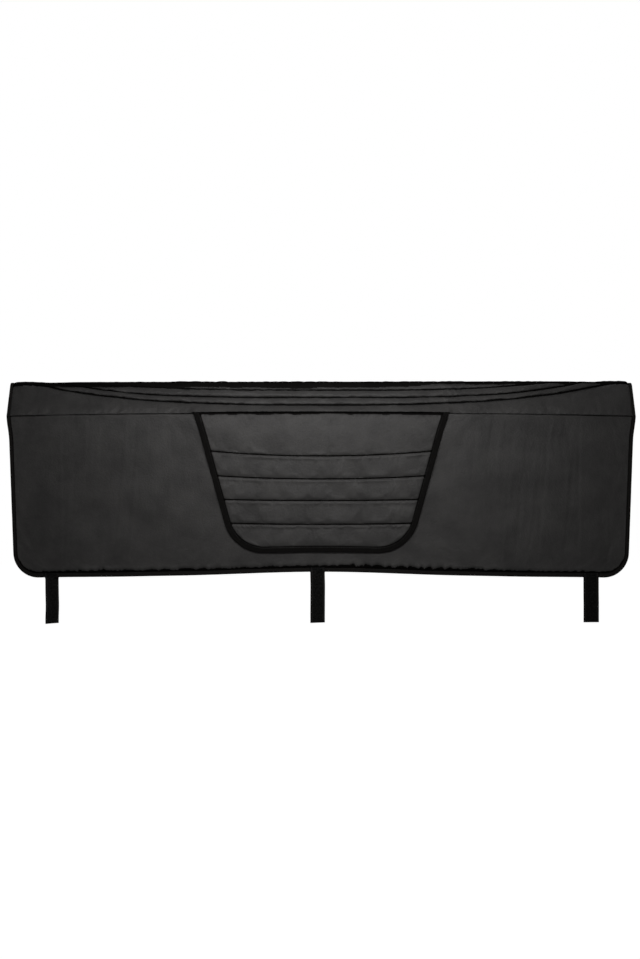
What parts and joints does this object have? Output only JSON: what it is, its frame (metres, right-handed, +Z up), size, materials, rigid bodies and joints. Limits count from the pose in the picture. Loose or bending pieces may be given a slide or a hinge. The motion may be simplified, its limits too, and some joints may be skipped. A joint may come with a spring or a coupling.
{
  "type": "tailgate bike pad",
  "caption": "Padded black cover that folds over a pickup's tailgate to carry bikes, with a quilted band, front flap, straps and rings.",
  "frame": {"origin": "middle of the flat underside of the top band, which rests on the tailgate's top edge", "axes": "+X along the tailgate, to the right as seen from behind the truck; -Y towards the front panel with the flap, which faces the viewer; +Z up"},
  "size_m": [1.5526, 0.1576, 0.6021],
  "materials": {
    "outer_fabric": "matt black coated woven fabric, quilted over foam",
    "lining": "black brushed lining fabric",
    "foam": "grey closed-cell foam sheet",
    "binding_tape": "black ribbed binding tape",
    "webbing": "black woven webbing",
    "hook_and_loop": "black hook and loop tape",
    "ring_plastic": "black moulded plastic"
  },
  "bodies": {
    "root": {"bed_binding": "binding_tape", "bed_foam": "foam", "bed_lining": "lining", "bed_ring_left": "ring_plastic", "bed_ring_middle": "ring_plastic", "bed_ring_right": "ring_plastic", "bed_shell": "outer_fabric", "bed_slope_lining": "lining", "bed_tab_left": "webbing", "bed_tab_middle": "webbing", "bed_tab_right": "webbing", "bike_hook_1": "hook_and_loop", "bike_hook_2": "hook_and_loop", "bike_hook_3": "hook_and_loop", "bike_hook_4": "hook_and_loop", "bike_hook_5": "hook_and_loop", "bike_strap_1": "webbing", "bike_strap_2": "webbing", "bike_strap_3": "webbing", "bike_strap_4": "webbing", "bike_strap_5": "webbing", "flap_binding": "binding_tape", "flap_foam": "foam", "flap_hook_bottom": "hook_and_loop", "flap_hook_left": "hook_and_loop", "flap_hook_right": "hook_and_loop", "flap_lining": "lining", "flap_loop_bottom": "hook_and_loop", "flap_loop_left": "hook_and_loop", "flap_loop_right": "hook_and_loop", "flap_shell": "outer_fabric", "front_binding": "binding_tape", "front_foam": "foam", "front_lining": "lining", "front_shell": "outer_fabric", "front_slope_lining": "lining", "front_strap_left": "webbing", "front_strap_middle": "webbing", "front_strap_right": "webbing", "left_end_binding": "binding_tape", "right_end_binding": "binding_tape", "top_foam": "foam", "top_lining": "lining", "top_shell": "outer_fabric", "window_facing": "lining"}
  },
  "joints": []
}
